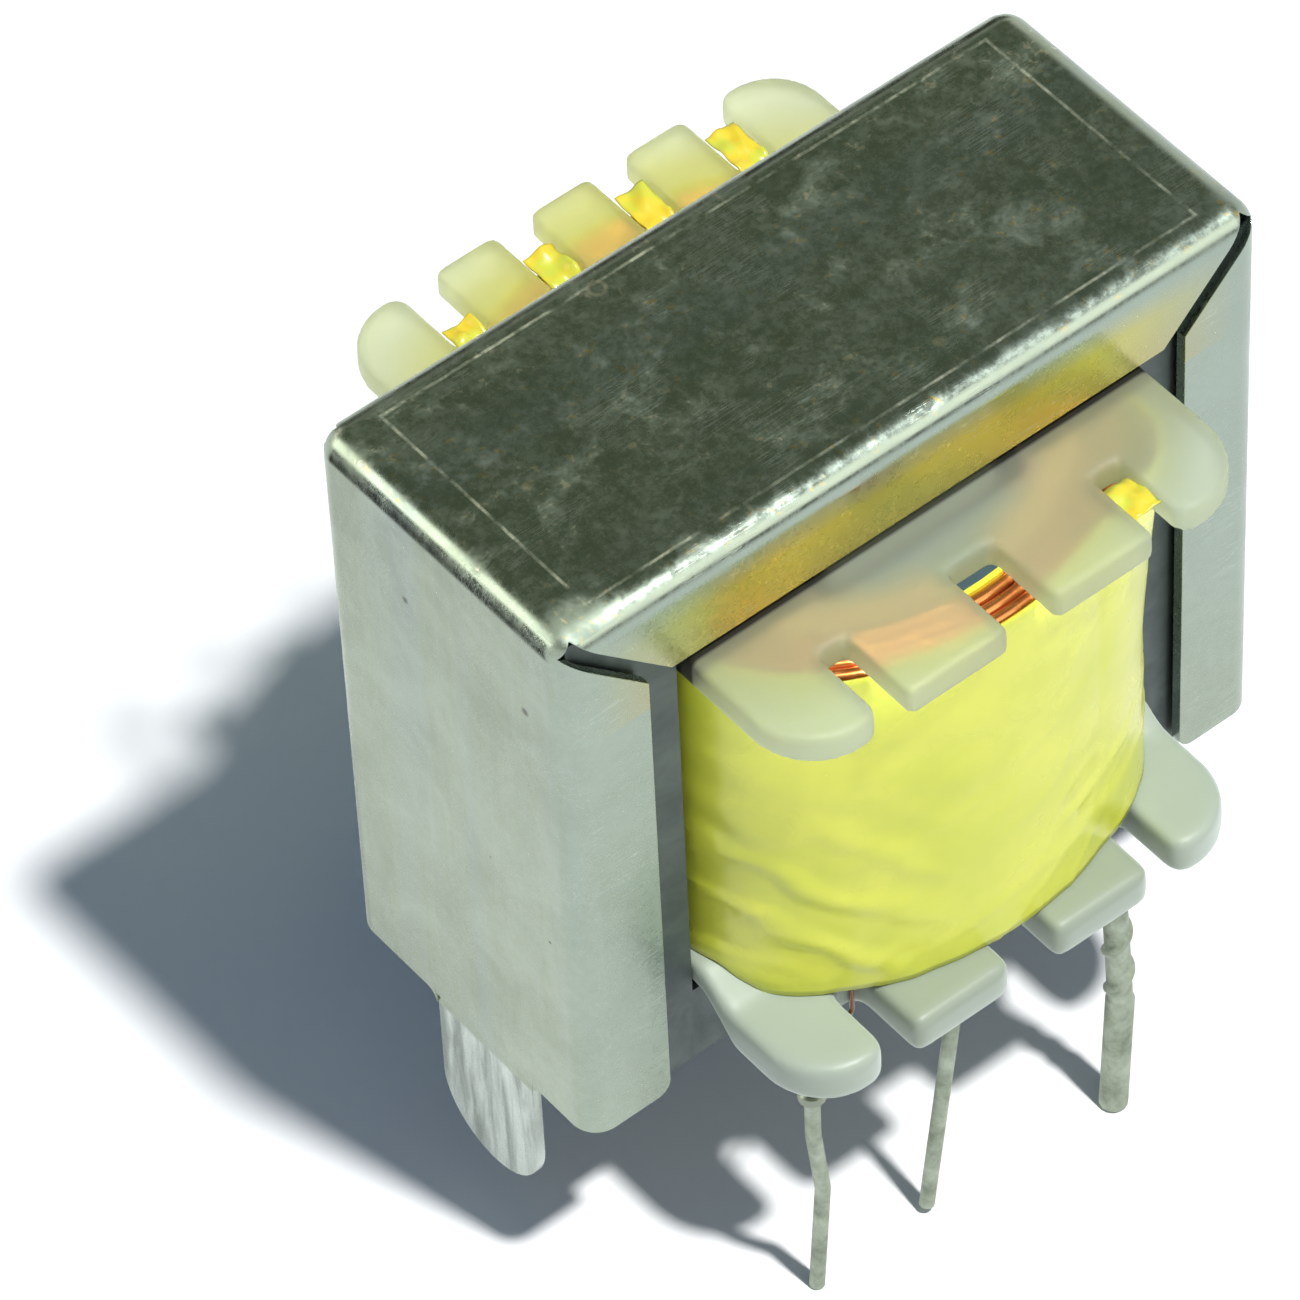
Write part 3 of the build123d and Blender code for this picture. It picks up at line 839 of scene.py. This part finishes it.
def makeTurnsTree():
    tree = bpy.data.node_groups.new("woundTurns", "GeometryNodeTree")
    tree.interface.new_socket("Outline", in_out="INPUT", socket_type="NodeSocketGeometry")
    for label, kind in (("Wire Diameter", "NodeSocketFloat"), ("Layers", "NodeSocketInt"),
                        ("Turns", "NodeSocketInt"), ("Pitch", "NodeSocketFloat"),
                        ("Looseness", "NodeSocketFloat"), ("Seed", "NodeSocketInt"),
                        ("Sides", "NodeSocketInt"), ("Copper", "NodeSocketMaterial")):
        tree.interface.new_socket(label, in_out="INPUT", socket_type=kind)
    tree.interface.new_socket("Windings", in_out="OUTPUT", socket_type="NodeSocketGeometry")
    given, out = addNode(tree, "NodeGroupInput"), addNode(tree, "NodeGroupOutput")
    take = given.outputs
    copies = addNode(tree, "GeometryNodeDuplicateElements", domain="SPLINE")
    plug(tree, take["Outline"], copies.inputs["Geometry"])
    plug(tree, times(tree, take["Layers"], take["Turns"]), copies.inputs["Amount"])
    number = copies.outputs["Duplicate Index"]
    layer = maths(tree, "FLOOR", maths(tree, "DIVIDE", number, take["Turns"]))
    turn = maths(tree, "MODULO", number, take["Turns"])
    chance = addNode(tree, "FunctionNodeRandomValue", data_type="FLOAT")
    least, most = chance.inputs[2], chance.inputs[3]
    plug(tree, times(tree, take["Looseness"], -1.0), least)
    plug(tree, take["Looseness"], most)
    plug(tree, number, chance.inputs["ID"])
    plug(tree, take["Seed"], chance.inputs["Seed"])
    outwards = addNode(tree, "ShaderNodeVectorMath", operation="CROSS_PRODUCT")
    plug(tree, addNode(tree, "GeometryNodeInputTangent").outputs[0], outwards.inputs[0])
    outwards.inputs[1].default_value = (0, 0, 1)
    side = addNode(tree, "ShaderNodeVectorMath", operation="SCALE")
    plug(tree, outwards.outputs[0], side.inputs[0])
    plug(tree, plus(tree, times(tree, layer, take["Wire Diameter"]), chance.outputs[1]), side.inputs["Scale"])
    lift = addNode(tree, "ShaderNodeCombineXYZ")
    plug(tree, times(tree, turn, take["Pitch"]), lift.inputs["Z"])
    shift = addNode(tree, "ShaderNodeVectorMath", operation="ADD")
    plug(tree, side.outputs[0], shift.inputs[0])
    plug(tree, lift.outputs[0], shift.inputs[1])
    place = addNode(tree, "GeometryNodeSetPosition")
    plug(tree, copies.outputs["Geometry"], place.inputs["Geometry"])
    plug(tree, shift.outputs[0], place.inputs["Offset"])
    section = addNode(tree, "GeometryNodeCurvePrimitiveCircle", mode="RADIUS")
    plug(tree, take["Sides"], section.inputs["Resolution"])
    plug(tree, maths(tree, "DIVIDE", take["Wire Diameter"], 2.0), section.inputs["Radius"])
    wires = addNode(tree, "GeometryNodeCurveToMesh")
    plug(tree, place.outputs[0], wires.inputs["Curve"])
    plug(tree, section.outputs[0], wires.inputs["Profile Curve"])
    smooth = addNode(tree, "GeometryNodeSetShadeSmooth")
    plug(tree, wires.outputs[0], smooth.inputs["Geometry"])
    real = addNode(tree, "GeometryNodeRealizeInstances")
    plug(tree, smooth.outputs[0], real.inputs[0])
    coat = addNode(tree, "GeometryNodeSetMaterial")
    plug(tree, real.outputs[0], coat.inputs["Geometry"])
    plug(tree, take["Copper"], coat.inputs["Material"])
    plug(tree, coat.outputs[0], out.inputs["Windings"])
    return tree


# modifier inputs by their sockets' identifiers
def setInputs(modifier, values):
    for item in modifier.node_group.interface.items_tree:
        if item.item_type == "SOCKET" and item.in_out == "INPUT" and item.name in values:
            modifier[item.identifier] = values[item.name]


def closedCurve(name, points):
    data = bpy.data.curves.new(name, "CURVE")
    data.dimensions = "3D"
    spline = data.splines.new("POLY")
    spline.points.add(len(points) - 1)
    for point, place in zip(spline.points, points):
        point.co = (*place, 1)
    spline.use_cyclic_u = True
    return linkPiece(name, data)


# a plain mesh object from what a geometry node tree makes of a source object
def meshFromNodes(name, source, tree, values):
    modifier = source.modifiers.new("build", "NODES")
    modifier.node_group = tree
    setInputs(modifier, values)
    mesh = meshOf(source)
    bpy.data.objects.remove(source)
    mesh.name = name
    return linkPiece(name, mesh)


def makeTurns(look):
    low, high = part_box("secondary_winding")
    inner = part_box("layer_tape")[1]
    wire = look["wire"]
    floor, ceiling = low.z + flangeGap, high.z - flangeGap
    turns = int((ceiling - floor) / wire)
    pitch = (ceiling - floor - wire) / (turns - 1)
    points = coilOutline(inner.x + wire / 2, inner.y + wire / 2, look["sidePoints"], look["archPoints"])
    outline = closedCurve("turnOutline", [(p.x, p.y, floor + wire / 2) for p in points])
    piece = meshFromNodes("copperTurns", outline, makeTurnsTree(), {
        "Wire Diameter": wire, "Layers": look["layers"], "Turns": turns, "Pitch": pitch,
        "Looseness": look["looseness"], "Seed": look["seed"], "Sides": look["sides"],
        "Copper": materials["enamelled_copper"]})
    finishPiece(piece, "secondary_winding")
    return piece


turnsPiece = makeTurns(turnsLook)
print("copper turns made:", len(turnsPiece.data.polygons), "faces")


# Outer tape with its wrinkles; ranges along x, y and z are in millimetres

tapeLook = {
    "thickness": 0.05 * mm, "inset": 0.08 * mm, "gap": 0.03 * mm,
    "sidePoints": 42, "archPoints": 168, "rows": 64,
    "slopeStart": 4.2 * mm, "slopeEnd": 5.2 * mm,    # in front and behind it reaches lower
    # wrinkles all round: their noises' scales, and creases that are stronger low down
    "wrinkle": 0.05 * mm, "deepest": 0.02 * mm, "folds": (0.5, 0.5, 0.9, 0.35), "foldShare": 0.5,
    "creases": (0.35, 0.8, 0.3, 0.3), "creaseShift": 5, "creaseFrom": 0.75, "creaseGain": 2.2,
    "creaseLeast": 0.35, "creaseEnd": 0.625, "ridge": 0.006 * mm, "ridgePitch": 0.36,
    # short folds at the left in front
    "fold": 0.06 * mm, "foldX": (-1.5, -3.5), "foldZ": (9.5, 6.5), "foldWave": (3.2, 2.6, 3),
    # edges of the last turns: height and rise along x
    "lap": 0.03 * mm, "laps": ((4.1, 0.10), (5.0, 0.16)), "lapSway": (0.12, 0.8), "lapEdge": 0.06,
    "lapX": (-1, 2),
    # it stands off the coil at the right in front
    "flare": 0.65 * mm, "flareLow": 0.4, "flareX": (3, 5), "flareY": (-4.3, -5.1), "flareZ": (6, 13),
}


# 0 up to the start and 1 from the end, whichever way they lie
def ramp(value, start, end):
    return min(1, max(0, (value - start) / (end - start)))


# how far the tape stands out at a place, given in millimetres, and a share of its height
def tapeRelief(look, where, share):
    foldX, foldY, foldZ, foldLean = look["folds"]
    fold = noise.noise(Vector((where.x * foldX, where.y * foldY, where.z * foldZ + where.x * foldLean)))
    alongX, alongZ, lean, alongY = look["creases"]
    crease = 1 - 2 * abs(noise.noise(Vector((where.x * alongX + look["creaseShift"],
                                             where.z * alongZ - where.x * lean, where.y * alongY))))
    crease = max(0, crease - look["creaseFrom"]) * look["creaseGain"]
    lowness = look["creaseLeast"] + ramp(share, look["creaseEnd"], 0)
    relief = look["wrinkle"] * (fold * look["foldShare"] + crease * lowness)
    relief += look["ridge"] * math.sin(where.z * 2 * math.pi / look["ridgePitch"])
    if where.y < 0:
        left = ramp(where.x, *look["foldX"]) * ramp(where.z, *look["foldZ"])
        waveZ, waveX, waveFold = look["foldWave"]
        relief += look["fold"] * left * math.sin(waveZ * where.z + waveX * where.x + waveFold * fold)
    sway, swayScale = look["lapSway"]
    for height, rise in look["laps"]:
        edge = height + rise * where.x + sway * noise.noise(Vector((where.x * swayScale, height, 0)))
        relief += look["lap"] * ramp(where.z, edge, edge - look["lapEdge"]) * ramp(where.x, *look["lapX"])
    relief = max(-look["deepest"], min(look["inset"], relief))
    bulge = look["flareLow"] + (1 - look["flareLow"]) * ramp(where.z, *look["flareZ"]) ** 2
    return relief + look["flare"] * ramp(where.x, *look["flareX"]) * ramp(where.y, *look["flareY"]) * bulge


# a tape piece from grids of places: faces between their rows, closed round where asked, and a wall
def tapePiece(name, grids, closed, thickness):
    form = bmesh.new()
    for grid in grids:
        rows = [[form.verts.new(place) for place in row] for row in grid]
        following = rows[1:] + rows[:1] if closed else rows[1:]
        for first, second in zip(rows, following):
            for number in range(len(first) - 1):
                corners = first[number], second[number], second[number + 1], first[number + 1]
                form.faces.new(corners).smooth = True
    bmesh.ops.recalc_face_normals(form, faces=form.faces)
    mesh = bpy.data.meshes.new(name)
    form.to_mesh(mesh)
    form.free()
    mesh.materials.append(materials["polyester_tape"])
    piece = linkPiece(name, mesh)
    wall = piece.modifiers.new("wall", "SOLIDIFY")
    wall.thickness, wall.offset = thickness, -1
    bakeModifiers(piece)
    return piece


def makeTape(look):
    low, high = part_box("outer_tape")
    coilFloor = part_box("secondary_winding")[0].z
    outline = coilOutline(high.x - look["inset"], high.y - look["inset"], look["sidePoints"],
                          look["archPoints"])
    top = high.z - look["gap"]
    columns = []
    for number, point in enumerate(outline):
        run = (outline[(number + 1) % len(outline)] - outline[number - 1]).normalized()
        outwards = Vector((run.y, -run.x, 0))
        depth = ramp(abs(point.y), look["slopeStart"], look["slopeEnd"])
        bottom = coilFloor + (low.z - coilFloor) * depth + look["gap"]
        column = []
        for row in range(look["rows"] + 1):
            share = row / look["rows"]
            place = point + Vector((0, 0, bottom + (top - bottom) * share))
            column.append(place + outwards * tapeRelief(look, place / mm, share))
        columns.append(column)
    finishPiece(tapePiece("outerTapeWrap", [columns], True, look["thickness"]), "outer_tape")


makeTape(tapeLook)
print("outer tape made")


# Loose tape ends, crumpled into the notches round the leads; in millimetres but for the thickness

scraps = {
    # middle along x, side, and how far the end reaches from the middle of the coil
    "places": [(3.95, -1, 7.5), (-4.15, 1, 7.0), (-1.38, 1, 7.5), (1.38, 1, 7.6), (4.15, 1, 7.7)],
    "start": 5.95, "startLevel": 13.35, "level": 14.15, "rise": 0.7,
    "width": 1.0, "narrowing": 0.82, "waver": 0.15, "waverSeed": 3, "across": 10, "along": 26,
    "crumple": 0.2, "crumpleAcross": 2.2, "crumpleAlong": 1.9, "crumpleShift": 5, "thickness": 0.04 * mm,
}


def scrapGrid(look, x, side, reach):
    grid = []
    for row in range(look["along"], -1, -1):
        y = look["start"] + (reach - look["start"]) * row / look["along"]
        climb = math.sin(ramp(y, look["start"], look["start"] + look["rise"]) * math.pi / 2)
        z = look["startLevel"] + (look["level"] - look["startLevel"]) * climb
        width = look["width"] * (1 - look["waver"] * noise.noise(Vector((x, y, look["waverSeed"]))))
        places = []
        for column in range(look["across"] + 1):
            aside = (column / look["across"] - 0.5) * width
            across = aside * look["crumpleAcross"] + x * look["crumpleShift"]
            lift = look["crumple"] * noise.noise(Vector((across, y * look["crumpleAlong"], x)))
            places.append(Vector((x + aside * look["narrowing"], side * y, z + lift)) * mm)
        grid.append(places)
    return grid


def makeScraps(look):
    grids = [scrapGrid(look, x, side, reach) for x, side, reach in look["places"]]
    piece = tapePiece("tapeEnds", grids, False, look["thickness"])
    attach(piece, "root")


makeScraps(scraps)
print("tape ends made")


# Floor and light

floorLook = {
    "half": 0.6, "colour": (0.97, 0.97, 0.965, 1), "rough": 0.9,
    "glow": 0.6,    # how much of it glows where it is mirrored or seen through something
    # metal mirrors a dark strip on it, painted shade seen only in reflections, in millimetres: direction,
    # beginning, middle, width and softness
    "darkTowards": (-0.85, 0.52), "darkRange": (29, 38), "darkMiddle": -3, "darkWidth": (11, 17),
    "darkest": 0.97,
}
skyLook = {
    "sky": (0.05, 0.10, 0.175, 1),
    "frontFill": (0.50, 0.50, 0.48, 1), "frontTowards": (-0.25, -0.95, 0.2), "frontRange": (0.2, 1.0),
    "frontPower": 1.5, "white": (1, 1, 1, 1),
    "roomHigh": (0.11, 0.127, 0.088, 1), "roomLow": (0.90, 0.90, 0.85, 1), "roomRange": (0.35, 0.62),
    # soft boxes that only metal mirrors: direction, cosine at the rim and inside it, colour
    "boxes": [((0.39, -0.76, 0.52), 0.94, 0.98, (2.0, 1.95, 1.7, 1)),
              ((-0.76, 0.52, 0.39), 0.91, 0.96, (2.8, 2.8, 2.6, 1)),
              ((-0.85, 0.52, 0.03), 0.975, 0.99, (0.02, 0.02, 0.015, 1)),
              ((0.39, -0.91, 0.13), 0.985, 0.995, (0.05, 0.05, 0.04, 1)),
              ((0.39, 0.92, 0.0), 0.86, 0.93, (0.06, 0.06, 0.045, 1))],
}
keyLamp = {"azimuth": 13.2, "elevation": 66.2, "distance": 0.5, "size": 0.035, "power": 2.85}


# how far a vector reaches in a direction, or the cosine between them where its length is 1
def alongOf(tree, vector, towards):
    node = addNode(tree, "ShaderNodeVectorMath", operation="DOT_PRODUCT")
    plug(tree, vector, node.inputs[0])
    node.inputs[1].default_value = Vector(towards).normalized()
    return node.outputs["Value"]


def makeFloor(look):
    level, half = cadBox[0][2], look["half"]
    mesh = bpy.data.meshes.new("studioFloor")
    corners = [(x * half, y * half, level) for x, y in ((-1, -1), (1, -1), (1, 1), (-1, 1))]
    mesh.from_pydata(corners, [], [(0, 1, 2, 3)])
    floor = linkPiece("studioFloor", mesh)
    material, tree, shader, position = startMaterial("studioPaper")
    shader.inputs["Base Color"].default_value = look["colour"]
    shader.inputs["Roughness"].default_value = look["rough"]
    shader.inputs["Specular IOR Level"].default_value = 0.0
    paths = addNode(tree, "ShaderNodeLightPath")
    glossy = paths.outputs["Is Glossy Ray"]
    seen = maths(tree, "MAXIMUM", glossy, paths.outputs["Is Transmission Ray"])
    x, y = look["darkTowards"]
    away = alongOf(tree, position, (x, y, 0))
    aside = plus(tree, alongOf(tree, position, (-y, x, 0)), look["darkMiddle"])
    aside = maths(tree, "ABSOLUTE", aside)
    dark = times(tree, spread(tree, away, *look["darkRange"]),
                 spread(tree, aside, *look["darkWidth"], look["darkest"], 0.0), glossy)
    glow = addNode(tree, "ShaderNodeEmission")
    plug(tree, maths(tree, "SUBTRACT", 1.0, dark), glow.inputs["Strength"])
    factor = maths(tree, "MAXIMUM", times(tree, seen, look["glow"]), dark)
    surface = mixShaders(tree, factor, shader.outputs[0], glow.outputs[0])
    plug(tree, surface, nodeOf(tree, "OUTPUT_MATERIAL").inputs["Surface"])
    mesh.materials.append(material)


# a dim sky for the light, a white backdrop for the camera and a room for the metal to mirror
def makeSky(look):
    world = bpy.data.worlds.new("studioRoom")
    world.use_nodes = True
    scene.world = world
    tree = world.node_tree
    tree.nodes.clear()
    paths = addNode(tree, "ShaderNodeLightPath")
    direction = addNode(tree, "ShaderNodeTexCoord").outputs["Generated"]
    low = fading(tree, axisOf(tree, direction, "Z"), *look["roomRange"])
    boxes = [(spread(tree, alongOf(tree, direction, towards), rim, inside), colour)
             for towards, rim, inside, colour in look["boxes"]]
    room = layered(tree, look["roomHigh"], (low, look["roomLow"]), *boxes)
    frontal = spread(tree, alongOf(tree, direction, look["frontTowards"]), *look["frontRange"])
    frontal = maths(tree, "POWER", frontal, look["frontPower"])
    backgrounds = []
    for colour in (blendColours(tree, frontal, look["sky"], look["frontFill"]), room, look["white"]):
        background = addNode(tree, "ShaderNodeBackground")
        plug(tree, colour, background.inputs["Color"])
        backgrounds.append(background.outputs[0])
    fill, mirrored, white = backgrounds
    seen = maths(tree, "MAXIMUM", paths.outputs["Is Camera Ray"], paths.outputs["Is Transmission Ray"])
    lit = mixShaders(tree, paths.outputs["Is Glossy Ray"], fill, mirrored)
    output = addNode(tree, "ShaderNodeOutputWorld")
    plug(tree, mixShaders(tree, seen, lit, white), output.inputs["Surface"])


def makeLamp(name, look):
    data = bpy.data.lights.new(name, "AREA")
    data.shape, data.size, data.energy = "DISK", look["size"], look["power"]
    lamp = bpy.data.objects.new(name, data)
    towards = directionOf(look["azimuth"], look["elevation"])
    turn = towards.to_track_quat("Z", "Y").to_matrix().to_4x4()
    lamp.matrix_world = Matrix.Translation(towards * look["distance"]) @ turn
    scene.collection.objects.link(lamp)


makeFloor(floorLook)
makeSky(skyLook)
makeLamp("keyLamp", keyLamp)
scene.view_settings.view_transform = "Standard"
print("floor and light made")
